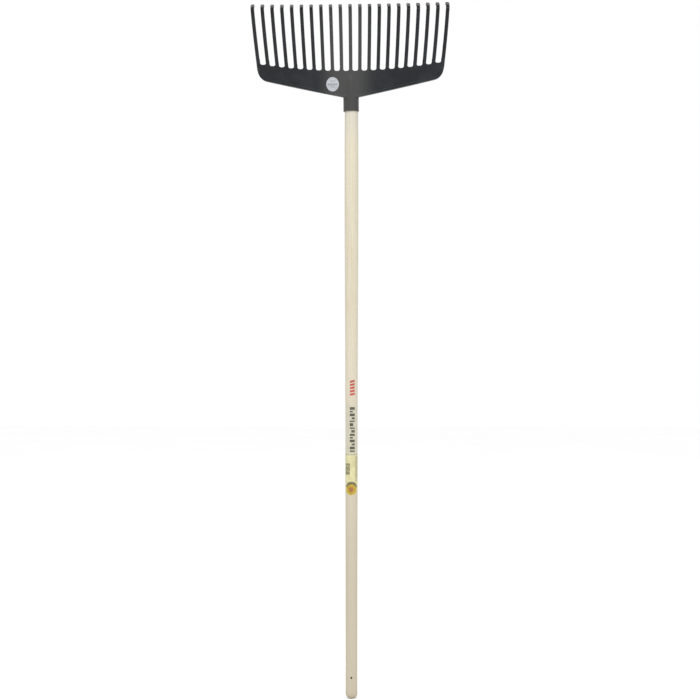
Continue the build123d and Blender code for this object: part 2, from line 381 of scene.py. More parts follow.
def place_node(tree, kind, settings=(), **inputs):
    """Adds a node. Its inputs are linked when given a socket, and set when given a value."""
    made = tree.nodes.new(kind)
    for name, value in dict(settings).items():
        setattr(made, name, value)
    for name, value in inputs.items():
        socket = made.inputs[int(name[1:])] if name[0] == "i" and name[1:].isdigit() else made.inputs[name]
        if isinstance(value, bpy.types.NodeSocket):
            tree.links.new(value, socket)
        else:
            socket.default_value = value
    return made


def result(tree, kind, settings=(), **inputs):
    """Adds a node and gives its first output."""
    return place_node(tree, kind, settings, **inputs).outputs[0]


def maths(tree, operation, first, second=0.0, third=0.0):
    """A Math node's result."""
    return result(tree, "ShaderNodeMath", {"operation": operation}, i0=first, i1=second, i2=third)


def run_tree(piece, tree, **values):
    """Runs a geometry node tree on a piece and leaves a plain mesh."""
    step = piece.modifiers.new(tree.name, "NODES")
    step.node_group = tree
    sockets = {item.name: item.identifier for item in tree.interface.items_tree if item.in_out == "INPUT"}
    for name, value in values.items():
        step[sockets[name.replace("_", " ")]] = value
    return finish_mesh(piece)


def new_shape_tree(name, sizes):
    """A geometry node tree with named sizes and a finish, and what it is given."""
    tree = bpy.data.node_groups.new(name, "GeometryNodeTree")
    tree_socket(tree, "Geometry", "NodeSocketGeometry")
    for label, default in sizes.items():
        kind = "NodeSocketInt" if isinstance(default, int) else "NodeSocketFloat"
        tree_socket(tree, label, kind, default)
    tree_socket(tree, "Finish", "NodeSocketMaterial")
    tree_socket(tree, "Geometry", "NodeSocketGeometry", output=True)
    return tree, tree.nodes.new("NodeGroupInput").outputs


def end_shape_tree(tree, given, shapes):
    """Ends a tree with real geometry in its finish."""
    real = result(tree, "GeometryNodeRealizeInstances", Geometry=shapes)
    done = result(tree, "GeometryNodeSetMaterial", Geometry=real, Material=given["Finish"])
    tree.links.new(done, tree.nodes.new("NodeGroupOutput").inputs[0])


def bar_tree():
    """Sweeps a rounded bar along each chain of edges. Its side attribute says which way the width lies."""
    sizes = {"Width": 5 * MM, "Depth": 5 * MM, "Corner": 1 * MM, "Corner Steps": 3}
    tree, given = new_shape_tree("moulded_bars", sizes)
    attribute = "GeometryNodeInputNamedAttribute"
    side = result(tree, attribute, {"data_type": "FLOAT_VECTOR"}, Name="side")
    swell = result(tree, attribute, {"data_type": "FLOAT"}, Name="swell")
    path = result(tree, "GeometryNodeMeshToCurve", Mesh=given["Geometry"])
    path = result(tree, "GeometryNodeSetCurveNormal", {"mode": "FREE"}, Curve=path, Normal=side)
    kind = "GeometryNodeCurvePrimitiveQuadrilateral"
    section = result(tree, kind, Width=given["Width"], Height=given["Depth"])
    corners = {"Count": given["Corner Steps"], "Radius": given["Corner"]}
    section = result(tree, "GeometryNodeFilletCurve", {"mode": "POLY"}, Curve=section, **corners)
    bars = result(tree, "GeometryNodeCurveToMesh", Curve=path, i1=section, Scale=swell, i3=True)
    end_shape_tree(tree, given, bars)


def wrap_tree():
    """Wraps flat shapes, drawn as arc length across and height, round the handle's front."""
    sizes = {"Foot Radius": 15 * MM, "Foot Height": 0.5, "Taper": 0.0}
    tree, given = new_shape_tree("wrapped_print", sizes)
    place = tree.nodes.new("GeometryNodeInputPosition").outputs[0]
    flat = place_node(tree, "ShaderNodeSeparateXYZ", i0=place).outputs
    above = maths(tree, "SUBTRACT", flat["Z"], given["Foot Height"])
    radius = maths(tree, "MULTIPLY_ADD", above, given["Taper"], given["Foot Radius"])
    turn = maths(tree, "DIVIDE", flat["X"], radius)
    reach = maths(tree, "SUBTRACT", radius, flat["Y"])
    x = maths(tree, "MULTIPLY", reach, maths(tree, "SINE", turn))
    y = maths(tree, "MULTIPLY", maths(tree, "MULTIPLY", reach, maths(tree, "COSINE", turn)), -1.0)
    place = result(tree, "ShaderNodeCombineXYZ", X=x, Y=y, Z=flat["Z"])
    moved = result(tree, "GeometryNodeSetPosition", Geometry=given["Geometry"], Position=place)
    end_shape_tree(tree, given, moved)


# ---------------------------------------------------------------- shader groups and materials


def shader_group(name, inputs, outputs):
    """An empty shader node group with named float inputs and outputs."""
    tree = bpy.data.node_groups.new(name, "ShaderNodeTree")
    for label, default in inputs.items():
        tree_socket(tree, label, "NodeSocketFloat", default)
    for label in outputs:
        tree_socket(tree, label, "NodeSocketFloat", output=True)
    return tree, tree.nodes.new("NodeGroupInput").outputs, tree.nodes.new("NodeGroupOutput").inputs


def noise(tree, vector, scale, detail=2.0, roughness=0.5, distortion=0.0):
    """A noise texture's value."""
    return place_node(
        tree,
        "ShaderNodeTexNoise",
        Vector=vector,
        Scale=scale,
        Detail=detail,
        Roughness=roughness,
        Distortion=distortion,
    ).outputs["Fac"]


def object_place(tree, scale=(1, 1, 1), location=(0, 0, 0)):
    """Object coordinates, stretched and moved."""
    place = tree.nodes.new("ShaderNodeTexCoord").outputs["Object"]
    return place_node(tree, "ShaderNodeMapping", Vector=place, Scale=scale, Location=location).outputs[0]


def band(tree, value, low, high, bottom=0.0, top=1.0):
    """Maps a value smoothly from low..high to bottom..top."""
    limits = {"From Min": low, "From Max": high, "To Min": bottom, "To Max": top}
    smooth = {"interpolation_type": "SMOOTHSTEP"}
    return result(tree, "ShaderNodeMapRange", smooth, Value=value, **limits)


def surface_slope(tree, axis):
    """How far a surface faces along an axis."""
    normal = tree.nodes.new("ShaderNodeNewGeometry").outputs["Normal"]
    return place_node(tree, "ShaderNodeSeparateXYZ", i0=normal).outputs[axis]


def toned(shade, *levels):
    """A colour times one level, or a level for each channel."""
    return tuple(part * levels[k % len(levels)] for k, part in enumerate(shade))


def mottling_group():
    """Uneven surface: a coarse and a fine noise, as a mask and a height."""
    tree, given, out = shader_group(
        "uneven_surface", {"Coarse Scale": 40.0, "Fine Scale": 1500.0}, ("Mask", "Height")
    )
    place = object_place(tree)
    coarse = noise(tree, place, given["Coarse Scale"], 4.0, 0.6)
    fine = noise(tree, place, given["Fine Scale"], 2.0)
    tree.links.new(coarse, out["Mask"])
    tree.links.new(maths(tree, "MULTIPLY_ADD", coarse, 0.4, fine), out["Height"])
    return tree


def soiling_group():
    """Dust that gathers on upward faces and fine scuffs along the object, as one mask."""
    tree, given, out = shader_group("dust_and_scuffs", {"Dust": 0.5, "Scuffs": 0.5}, ("Mask",))
    patches = noise(tree, object_place(tree), 60.0, 4.0, 0.65)
    upward = band(tree, surface_slope(tree, "Z"), 0.2, 0.95)
    resting = maths(tree, "MULTIPLY", upward, band(tree, patches, 0.35, 0.65))
    streaks = noise(tree, object_place(tree, (260, 260, 34)), 1.0, 3.0, 0.7, 0.4)
    scuffs = band(tree, streaks, 0.62, 0.72)
    total = maths(tree, "MULTIPLY", resting, given["Dust"])
    total = maths(tree, "MULTIPLY_ADD", scuffs, given["Scuffs"], total)
    tree.links.new(maths(tree, "MINIMUM", total, 1.0), out["Mask"])
    return tree


def new_material(name):
    """A material with its Principled shader."""
    material = bpy.data.materials.new(name)
    material.use_nodes = True
    tree = material.node_tree
    return material, tree, tree.nodes["Principled BSDF"].inputs


def use_group(tree, name, **values):
    """Places a shader group with its own values and gives its outputs."""
    made = tree.nodes.new("ShaderNodeGroup")
    made.node_tree = bpy.data.node_groups[name]
    for label, value in values.items():
        made.inputs[label.replace("_", " ")].default_value = value
    return made.outputs


def mixed(tree, factor, first, second):
    """Mixes two colours, each a socket or a plain colour."""
    made = tree.nodes.new("ShaderNodeMix")
    made.data_type = "RGBA"
    for name, value in (("Factor", factor), ("A", first), ("B", second)):
        kind = "VALUE" if name == "Factor" else "RGBA"
        socket = next(item for item in made.inputs if item.name == name and item.type == kind)
        if isinstance(value, bpy.types.NodeSocket):
            tree.links.new(value, socket)
        else:
            socket.default_value = (*value, 1.0) if kind == "RGBA" else value
    return next(item for item in made.outputs if item.type == "RGBA")


def bump(tree, height, distance, strength=1.0):
    """A normal bent by a height."""
    return result(tree, "ShaderNodeBump", Height=height, Strength=strength, Distance=distance)


def link_finish(tree, shader, base, rough, normal, **fixed):
    """Feeds a shader its colour, roughness and normal, and sets what is the same all over."""
    for label, socket in (("Base Color", base), ("Roughness", rough), ("Normal", normal)):
        tree.links.new(socket, shader[label])
    for label, value in fixed.items():
        shader[label.replace("_", " ")].default_value = value


def ash_material(sizes):
    """Pale turned ash: long rings from an off-centre pith, pores in the early wood, fine fibres."""
    material, tree, shader = new_material("turned_ash")
    pith_right, pith_back, ring_width = 31 * MM, 42 * MM, 2.6 * MM
    place = tree.nodes.new("ShaderNodeTexCoord").outputs["Object"]
    spot = place_node(tree, "ShaderNodeSeparateXYZ", i0=place).outputs

    # Rings, which drift and wander along the handle
    drift = noise(tree, object_place(tree, (9, 9, 1.1)), 1.0, 2.0)
    wander = noise(tree, object_place(tree, (40, 40, 4.5)), 1.0, 3.0)
    across = maths(tree, "SUBTRACT", spot["X"], pith_right)
    behind = maths(tree, "SUBTRACT", spot["Y"], pith_back)
    square = maths(tree, "MULTIPLY_ADD", across, across, maths(tree, "MULTIPLY", behind, behind))
    pith = maths(tree, "MULTIPLY_ADD", drift, 14 * MM, maths(tree, "SQRT", square))
    pith = maths(tree, "MULTIPLY_ADD", wander, 1.3 * MM, pith)
    ring = maths(tree, "FRACT", maths(tree, "DIVIDE", pith, ring_width))
    early = maths(tree, "MULTIPLY", band(tree, ring, 0.0, 0.12), band(tree, ring, 0.62, 0.2))
    late = band(tree, ring, 0.3, 1.0)

    # Pores, fibres and slow changes of tone
    pores = noise(tree, object_place(tree, (2300, 2300, 95)), 1.0, 2.0, 0.6)
    dashes = maths(tree, "MULTIPLY", band(tree, pores, 0.58, 0.68), band(tree, early, 0.1, 0.9, 0.25, 1.0))
    fibres = noise(tree, object_place(tree, (700, 700, 14)), 1.0, 4.0, 0.6)
    cloud = noise(tree, object_place(tree, (30, 30, 5)), 1.0, 3.0)
    lines = maths(tree, "MULTIPLY_ADD", late, 0.30, maths(tree, "MULTIPLY", early, 0.45))
    lines = maths(tree, "MULTIPLY_ADD", band(tree, fibres, 0.3, 0.75), 0.38, lines)
    base = mixed(tree, maths(tree, "MINIMUM", lines, 1.0), tuple(sizes.pale), tuple(sizes.dark))
    base = mixed(tree, band(tree, cloud, 0.5, 0.8, 0.0, 0.55), base, toned(sizes.dark, 0.97, 0.93, 0.86))
    base = mixed(tree, maths(tree, "MULTIPLY", dashes, 0.5), base, toned(sizes.dark, 0.62))

    # Painted shade: darker towards the bottom, standing in for the light's fall-off down the handle; greyer
    # under the socket, grimy at the butt
    painted_lower_shade = band(tree, spot["Z"], 0.80, 0.22, 0.0, 0.75)
    base = mixed(tree, painted_lower_shade, base, toned(sizes.dark, 0.86, 0.865, 0.888))
    base = mixed(tree, band(tree, spot["Z"], 1.33, 1.41, 0.0, 0.4), base, (0.40, 0.397, 0.365))
    end = band(tree, spot["Z"], 26 * MM, 2 * MM)
    grime = maths(tree, "MULTIPLY", end, band(tree, fibres, 0.3, 0.7, 0.15, 0.5))
    base = mixed(tree, grime, base, toned(sizes.dark, 0.7))
    rough = band(tree, fibres, 0.2, 0.8, 0.52, 0.68)
    relief = maths(tree, "MULTIPLY_ADD", dashes, -1.2, maths(tree, "MULTIPLY", fibres, 0.8))
    link_finish(tree, shader, base, rough, bump(tree, relief, 0.08 * MM, 0.7), Specular_IOR_Level=0.35)
    return material


def plastic_material(sizes, shape):
    """Black moulded plastic with a fine texture, pale bloom on top faces, a painted highlight round the
    socket, and hook ends paler from painted highlight and wear.
    """
    material, tree, shader = new_material("black_moulded_plastic")
    uneven = use_group(tree, "uneven_surface", Coarse_Scale=28.0, Fine_Scale=1900.0)
    soiled = use_group(tree, "dust_and_scuffs", Dust=0.5, Scuffs=0.16)
    patchy = band(tree, uneven["Mask"], 0.35, 0.75)
    base = mixed(tree, patchy, tuple(sizes.plastic), toned(sizes.plastic, 1.6))

    # Painted highlight: the middle round the socket is painted paler, standing in for the front light's broad
    # reflection
    place = place_node(tree, "ShaderNodeSeparateXYZ", i0=object_place(tree)).outputs
    aside = maths(tree, "ABSOLUTE", maths(tree, "ADD", place["X"], 12 * MM))
    aside = maths(tree, "MULTIPLY_ADD", uneven["Mask"], 20 * MM, aside)
    base = mixed(tree, band(tree, aside, 90 * MM, 28 * MM), base, tuple(sizes.painted_highlight))
    base = mixed(tree, soiled["Mask"], base, tuple(sizes.bloom))

    # Paler on the hooks' forward-facing ends: partly painted highlight from the front light, partly wear
    # where they scrape the ground
    arch = maths(tree, "MULTIPLY", maths(tree, "MULTIPLY", place["X"], place["X"]), 0.5 / shape.tip_arc)
    top = MOUTH + sizes.tip_height
    hooks = band(tree, maths(tree, "ADD", place["Z"], arch), top - 11 * MM, top - 8 * MM)
    highlight_and_wear = maths(tree, "MULTIPLY", hooks, band(tree, surface_slope(tree, "Y"), -0.6, -0.9))
    highlight_and_wear = maths(tree, "MULTIPLY", highlight_and_wear, band(tree, uneven["Mask"], 0.2, 0.7, 0.6, 1.0))
    base = mixed(tree, highlight_and_wear, base, tuple(sizes.tip_highlight_and_wear))
    rough = band(tree, uneven["Mask"], 0.3, 0.8, 0.33, 0.43)
    rough = maths(tree, "MULTIPLY_ADD", soiled["Mask"], 0.2, rough)
    texture = bump(tree, uneven["Height"], 0.03 * MM, 0.6)
    link_finish(tree, shader, base, rough, texture, Specular_IOR_Level=0.18)
    return material


def screw_material():
    """Zinc-plated steel with turning marks and dull patches."""
    material, tree, shader = new_material("zinc_plated_steel")
    uneven = use_group(tree, "uneven_surface", Coarse_Scale=420.0, Fine_Scale=5000.0)
    soiled = use_group(tree, "dust_and_scuffs", Dust=0.6, Scuffs=0.4)
    base = mixed(tree, uneven["Mask"], (0.50, 0.50, 0.48), (0.68, 0.68, 0.70))
    base = mixed(tree, maths(tree, "MULTIPLY", soiled["Mask"], 0.6), base, (0.2, 0.18, 0.15))
    rough = band(tree, uneven["Mask"], 0.3, 0.8, 0.25, 0.45)
    link_finish(tree, shader, base, rough, bump(tree, uneven["Height"], 0.01 * MM, 0.5), Metallic=1.0)
    return material


def print_material(name, shade, roughness, metallic=0.0, spread=0.12, coat=0.0):
    """A printed or papery finish: an uneven tone, faint fibres and the same shader for all."""
    material, tree, shader = new_material(name)
    uneven = use_group(tree, "uneven_surface", Coarse_Scale=90.0, Fine_Scale=2600.0)
    low, high = toned(shade, 1 - spread), toned(shade, 1 + spread)
    base = mixed(tree, band(tree, uneven["Mask"], 0.3, 0.7), low, high)
    rough = band(tree, uneven["Height"], 0.3, 1.0, roughness * 0.85, roughness * 1.15)
    texture = bump(tree, uneven["Height"], 0.01 * MM, 0.4)
    link_finish(tree, shader, base, rough, texture, Metallic=metallic, Coat_Weight=coat)
    return material


def floor_material(shade):
    """A plain pale floor with the least unevenness."""
    material, tree, shader = new_material("pale_floor")
    uneven = use_group(tree, "uneven_surface", Coarse_Scale=1.5, Fine_Scale=60.0)
    base = mixed(tree, band(tree, uneven["Mask"], 0.3, 0.7), toned(shade, 0.985), tuple(shade))
    tree.links.new(base, shader["Base Color"])
    shader["Roughness"].default_value = 0.9
    return material


# ---------------------------------------------------------------- the handle


def handle_radius(sizes, height):
    """Radius of the handle's turned side at a height."""
    slope = (sizes.swell_radius - sizes.butt_radius) / (sizes.swell_height - sizes.straight_grip)
    stations = (  # height, radius and slope
        (sizes.straight_grip, sizes.butt_radius, 0.0),
        (sizes.middle_height, sizes.middle_radius, slope),
        (sizes.swell_height, sizes.swell_radius, 0.0),
        (MOUTH, sizes.mouth_radius, -0.01),
    )
    if height <= sizes.straight_grip:
        return sizes.butt_radius
    if height >= MOUTH:
        along = (height - MOUTH) / (HANDLE_HIGH.z - MOUTH)
        return sizes.mouth_radius + (sizes.cone_tip_radius - sizes.mouth_radius) * along
    for (low, r_low, s_low), (high, r_high, s_high) in zip(stations, stations[1:]):
        if height <= high:
            span = high - low
            t = (height - low) / span
            bend = (1 - t) * t * ((1 - t) * s_low - t * s_high) * span
            ease = t * t * (3 - 2 * t)
            return r_low + (r_high - r_low) * ease + bend
    return sizes.mouth_radius


def handle_profile(sizes):
    """(radius, height) points of the handle from the butt's middle to the cone's tip."""
    flat = sizes.butt_radius - sizes.butt_round
    profile = [(0, 0), (flat / 2, 0)]
    profile += arc((flat, sizes.butt_round), sizes.butt_round, -pi / 2, 0, 14)
    step = 14 * MM
    count = ceil((MOUTH - sizes.butt_round) / step)
    for k in range(1, count + 1):
        height = sizes.butt_round + (MOUTH - sizes.butt_round) * k / count
        profile.append((handle_radius(sizes, height), height))
    top = HANDLE_HIGH.z
    chamfer = 1 * MM
    for part in (0.25, 0.5, 0.75):
        height = MOUTH + (top - MOUTH) * part
        profile.append((handle_radius(sizes, height), height))
    profile.append((handle_radius(sizes, top - chamfer), top - chamfer))
    profile += [(sizes.cone_tip_radius - chamfer, top), (0, top)]
    return profile


class HAYRAKE_OT_handle(bpy.types.Operator):
    """Turn the ash handle, with its rounded butt, hanging hole and cone"""

    bl_idname = "hayrake.make_handle"
    bl_label = "Handle"

    def execute(self, context):
        sizes = context.scene.hayrake_handle
        verts, faces = lathe(handle_profile(sizes), 96)
        handle = new_piece("ash_handle", verts, faces, ash_material(sizes))
        level = sizes.hang_hole_height
        reach = 1.5 * sizes.butt_radius
        hole = rod("hang_hole", (0, -reach, level), (0, reach, level), sizes.hang_hole_radius)
        screw_tip = SCREW_LOW.y - 0.1 * MM
        pilot = rod("pilot_hole", (0, screw_tip, SCREW_LEVEL), (0, 2 * reach, SCREW_LEVEL), SCREW_SHANK)
        combine(handle, hole, "DIFFERENCE")
        combine(handle, pilot, "DIFFERENCE")
        finish_mesh(handle)
        discard(hole, pilot)
        declare(handle, "handle")
        return {"FINISHED"}


# ---------------------------------------------------------------- the moulded head


SOCKET_CAP = 5.5 * MM  # the socket's closed end, above the handle's tip
SOCKET_STRAIGHT = 52 * MM  # height of the socket's straight part
SOCKET_TAPER = 2.2 * MM  # what its outer radius loses above that
TINE_ROOT = 17 * MM  # how far a tine runs down behind the plate
TINE_SINK = 0.2 * MM  # how far a tine's front lies behind the plate's front


class HeadShape:
    """The head's curves, worked out from its sizes."""

    def __init__(self, sizes, mouth_radius):
        self.sizes = sizes
        self.socket_radius = mouth_radius + sizes.socket_wall
        self.front = sizes.boss_rise - self.socket_radius
        self.slope = tan(sizes.lower_edge_angle)
        self.edge = MOUTH + sizes.plate_foot - self.socket_radius * self.slope
        self.slot = MOUTH + sizes.slot_floor
        self.pitch_height = self.slot + sizes.slot_floor_rise + sizes.tine_width
        self.end = sizes.tine_pairs * sizes.tine_pitch
        self.half = self.end + sizes.tine_width / 2
        self.lean = sizes.tine_pairs * sizes.tine_spread
        self.slot_arc = self.end**2 / (2 * sizes.slot_floor_rise)
        self.tip_arc = self.end**2 / (2 * sizes.tip_drop)
        self.flat = sizes.bow_knee - sizes.bow_radius * tan(sizes.wing_angle / 2)
        self.bend_end = self.flat + sizes.bow_radius * sin(sizes.wing_angle)
        self.top = HANDLE_HIGH.z + SOCKET_CAP
        self.taper_start = MOUTH + SOCKET_STRAIGHT
        self.top_radius = self.socket_radius - SOCKET_TAPER

    def bow(self, place):
        """The plate front's Y at a place across the head, and its turn, signed by side."""
        side = abs(place)
        turn = self.sizes.wing_angle
        if side <= self.flat:
            return self.front, 0.0
        if side <= self.bend_end:
            turned = asin((side - self.flat) / self.sizes.bow_radius)
            depth = self.sizes.bow_radius * (1 - cos(turned))
        else:
            turned = turn
            depth = self.sizes.bow_radius * (1 - cos(turn)) + (side - self.bend_end) * tan(turn)
        return self.front - depth, turned if place > 0 else -turned

    def slot_floor(self, place):
        """Height of the slot floors' arc."""
        return self.slot + self.slot_arc - sqrt(self.slot_arc**2 - place**2)

    def hook_top(self, place):
        """Height of the hooks' tops."""
        return MOUTH + self.sizes.tip_height - self.tip_arc + sqrt(self.tip_arc**2 - place**2)

    def tine(self, number, height):
        """Place across the head of a tine's middle line at a height."""
        return number * (self.sizes.tine_pitch + (height - self.pitch_height) * self.sizes.tine_spread)

    def boss_radius(self, height):
        """Outer radius of the socket, which narrows towards its closed end."""
        along = (height - self.taper_start) / (self.top - self.taper_start)
        return self.socket_radius + (self.top_radius - self.socket_radius) * min(1.0, max(0.0, along))

    def lower_edge(self, inset, ends_at):
        """Front view of the plate's lower edge and corners, moved inwards, from left to right."""
        angle = self.sizes.lower_edge_angle
        side = atan(self.lean)
        up = Vector((-sin(angle), cos(angle)))
        inward = Vector((-cos(side), sin(side)))
        radius = self.sizes.corner_radius
        along_edge = Vector((cos(angle), sin(angle)))
        foot = Vector((0, self.edge)) + up * radius
        side_point = Vector((self.half, self.pitch_height)) + inward * radius
        along_side = Vector((sin(side), cos(side)))
        gap = side_point - foot
        turned = along_edge.x * along_side.y - along_edge.y * along_side.x
        reach = (gap.x * along_side.y - gap.y * along_side.x) / turned
        centre = foot + along_edge * reach
        start = atan2(-up.y, -up.x)
        end = atan2(-inward.y, -inward.x)
        right = [(0.0, self.edge + inset / cos(angle))]
        right += arc(centre, radius - inset, start, end, 12)
        last = Vector(right[-1])
        right.append(tuple(last + along_side * (ends_at - last.y) / along_side.y))
        left = [(-x, z) for x, z in reversed(right[1:])]
        return left + right

    def side_at(self, level, inset):
        """Half the plate's width at a height, moved inwards."""
        line = self.lower_edge(inset, self.slot)
        for before, after in zip(line, line[1:]):
            if before[0] > 0 and before[1] <= level <= after[1]:
                share = (level - before[1]) / (after[1] - before[1])
                return before[0] + (after[0] - before[0]) * share
        return self.half - inset

    def plate_outline(self):
        """Front view of the plate, anticlockwise from its left side's top, with stubs for the tines."""
        sizes = self.sizes
        half = sizes.tine_width / 2
        stub = 12 * MM
        numbers = range(sizes.tine_pairs, -sizes.tine_pairs - 1, -1)
        stub_top = self.slot_floor(self.end) + stub
        outline = self.lower_edge(0.0, stub_top)
        outline = refine(outline, 6 * MM)
        for number in numbers:
            top = self.slot_floor(number * sizes.tine_pitch) + stub
            if number != sizes.tine_pairs:
                outline.append((self.tine(number, top) + half, top))
            if number != -sizes.tine_pairs:
                outline.append((self.tine(number, top) - half, top))
                level = self.slot_floor((number - 0.5) * sizes.tine_pitch)
                corner = level + sizes.slot_corner
                right = self.tine(number, corner) - half - sizes.slot_corner
                left = self.tine(number - 1, corner) + half + sizes.slot_corner
                outline += arc((right, corner), sizes.slot_corner, 0, -pi / 2, 7)
                outline += arc((left, corner), sizes.slot_corner, -pi / 2, -pi, 7)
        return outline

    def plate_front(self, x, z):
        """Y of the plate's front: it swells into the socket and sinks into the tines' feet."""
        fillet, fade_height = 32 * MM, 26 * MM
        sink_start, sink_height, sink_depth = 3 * MM, 9 * MM, 2.4 * MM
        y, _ = self.bow(x)
        sink = min(1.0, max(0.0, (z - self.slot_floor(x) - sink_start) / sink_height))
        y += sink_depth * sink * sink
        side = abs(x)
        boss = self.boss_radius(z)
        reach = sqrt((boss + fillet) ** 2 - (fillet - self.front) ** 2)
        if side < reach:
            if side < reach * boss / (boss + fillet):
                bulge = -sqrt(boss * boss - side * side)
            else:
                bulge = self.front - fillet + sqrt(fillet * fillet - (reach - side) ** 2)
            fade = min(1.0, max(0.0, (self.slot - z) / fade_height))
            y += (bulge - self.front) * fade * fade * (3 - 2 * fade)
        return y

    def plate_back(self, x, z):
        """Y of the plate's back."""
        y, turned = self.bow(x)
        return y + self.sizes.plate_thickness / cos(turned)

    def on_back(self, x, z, depth):
        """A point straight behind the plate's front."""
        y, turned = self.bow(x)
        return Vector((x, y + depth / cos(turned), z))

    def tine_path(self, number):
        """Points, sides and swells along one tine, from its foot on the plate's back to its tip."""
        sizes = self.sizes
        root = self.slot_floor(number * sizes.tine_pitch) - TINE_ROOT
        place = self.tine(number, root)
        y, turned = self.bow(place)
        along = Vector((cos(turned), -sin(turned), 0))
        forward = Vector((-sin(turned), -cos(turned), 0))
        lean = atan(number * sizes.tine_spread / cos(turned))
        up = Vector((0, 0, 1)) * cos(lean) + along * sin(lean)
        side = along * cos(lean) - Vector((0, 0, 1)) * sin(lean)
        start = Vector((place, y, root)) - forward * (TINE_SINK + sizes.tine_depth / 2)
        first, whole = sizes.curve_angle, sizes.curve_angle + sizes.hook_angle
        rise = sizes.curve_radius * sin(first) + sizes.hook_radius * (sin(whole) - sin(first))
        rise += sizes.hook_reach * cos(whole) + sizes.tine_depth / 2
        straight = (self.hook_top(number * sizes.tine_pitch) - root) / cos(lean) - rise

        # Middle line as (reach, height): straight, gentle turn, hook, straight end and dome
        flat = [(0.0, straight * k / 8) for k in range(9)]
        for radius, low, high, steps in (
            (sizes.curve_radius, 0.0, first, 24),
            (sizes.hook_radius, first, whole, 16),
        ):
            reach, height = flat[-1]
            for k in range(1, steps + 1):
                turn = low + (high - low) * k / steps
                out, rise = cos(low) - cos(turn), sin(turn) - sin(low)
                flat.append((reach + radius * out, height + radius * rise))
        reach, height = flat[-1]
        round_end, dome_steps = 1.9 * MM, 6
        quarter = [pi / 2 * k / dome_steps for k in range(1, dome_steps + 1)]
        run = sizes.hook_reach - round_end
        ends = [run * k / 3 for k in (1, 2, 3)] + [run + round_end * sin(turn) for turn in quarter]
        flat += [(reach + step * sin(whole), height + step * cos(whole)) for step in ends]
        narrow = 2 * round_end / sizes.tine_width
        swells = [1.0] * (len(flat) - dome_steps) + [1 - narrow * (1 - cos(turn)) for turn in quarter]

        # The foot starts small inside the plate
        foot, foot_steps = 2.4 * MM, 4
        quarter = [pi / 2 * k / foot_steps for k in range(foot_steps)]
        flat = [(0.0, foot * (1 - cos(turn))) for turn in quarter] + flat[1:]
        swells = [max(0.3, sin(turn)) for turn in quarter] + swells[1:]
        points = [start + forward * reach + up * height for reach, height in flat]
        return points, [side] * len(points), swells


def refine(line, step):
    """Adds points to the long runs of an open line."""
    fine = [line[0]]
    for before, after in zip(line, line[1:]):
        gap = Vector(after) - Vector(before)
        count = max(1, ceil(gap.length / step))
        fine += [tuple(Vector(before) + gap * k / count) for k in range(1, count + 1)]
    return fine


def swept_bars(name, paths, material, width, depth, corner, corner_steps=3):
    """Closed bars along paths of (points, sides, swells)."""
    verts, edges, sides, swells = [], [], [], []
    for points, side, swell in paths:
        base = len(verts)
        verts += points
        sides += side
        swells += swell
        edges += [(base + k, base + k + 1) for k in range(len(points) - 1)]
    mesh = bpy.data.meshes.new(name)
    mesh.from_pydata(verts, edges, [])
    mesh.attributes.new("side", "FLOAT_VECTOR", "POINT")
    mesh.attributes.new("swell", "FLOAT", "POINT")
    mesh.attributes["side"].data.foreach_set("vector", [part for side in sides for part in side])
    mesh.attributes["swell"].data.foreach_set("value", swells)
    piece = bpy.data.objects.new(name, mesh)
    bpy.context.scene.collection.objects.link(piece)
    values = {"Width": width, "Depth": depth, "Corner": corner, "Corner_Steps": corner_steps}
    run_tree(piece, bpy.data.node_groups["moulded_bars"], **values, Finish=material)
    turn_outwards(piece.data)
    return piece


def rib_path(shape, line, root, reach, taper=0.0):
    """A bar's path along a front-view line on the plate.

    root is the depth behind the plate's front at which the bar starts, and reach how far it goes on
    from there. A taper is the length over which it fades out at both ends.
    """
    line = refine(line, 3 * MM)
    walked = [0.0]
    for before, after in zip(line, line[1:]):
        walked.append(walked[-1] + (Vector(after) - Vector(before)).length)
    swells = []
    for place in walked:
        share = min(place, walked[-1] - place) / taper if taper else 1.0
        swells.append(0.25 + 0.75 * sin(pi / 2 * min(1.0, share)))
    points = [shape.on_back(x, z, root + reach * swell / 2) for (x, z), swell in zip(line, swells)]
    backward = Vector((0, 1, 0))
    sides = []
    for k in range(len(points)):
        along = points[min(k + 1, len(points) - 1)] - points[max(k - 1, 0)]
        sides.append(along.cross(backward).normalized())
    return points, sides, swells


def socket_boss(shape, material):
    """The socket's outside as a solid turned shape."""
    soft = 0.9 * MM
    radius = shape.socket_radius
    profile = [(0, MOUTH)]
    profile += [(radius / 2, MOUTH)]
    profile += arc((radius - soft, MOUTH + soft), soft, -pi / 2, 0, 5)
    count = 8
    for k in range(1, count + 1):
        profile.append((radius, MOUTH + soft + (shape.taper_start - MOUTH - soft) * k / count))
    cap = 4.0 * MM
    for k in range(1, count + 1):
        height = shape.taper_start + (shape.top - cap - shape.taper_start) * k / count
        profile.append((shape.boss_radius(height), height))
    profile += arc((shape.boss_radius(shape.top - cap) - cap, shape.top - cap), cap, 0, pi / 2, 8)[1:]
    profile += [(0, shape.top)]
    verts, faces = lathe(profile, 96)
    hidden = 0.15 * MM
    for k, (x, y, z) in enumerate(verts):
        if y < 0 and z > shape.edge + abs(x) * shape.slope:
            verts[k] = (x, max(y, shape.plate_front(x, z) + hidden), z)
    return new_piece("socket_boss", verts, faces, material)


def socket_bore(sizes):
    """The cone that the handle fills, as a solid for cutting."""
    slack = 0.05 * MM
    end = HANDLE_HIGH.z + 1 * MM
    below = 2 * MM
    profile = [(0, MOUTH - below), (sizes.mouth_radius + slack, MOUTH - below)]
    profile += [(sizes.mouth_radius + slack, MOUTH), (sizes.cone_tip_radius + slack, HANDLE_HIGH.z)]
    profile += [(sizes.cone_tip_radius + slack, end), (0, end)]
    verts, faces = lathe(profile, 96)
    return new_piece("socket_bore", verts, faces)


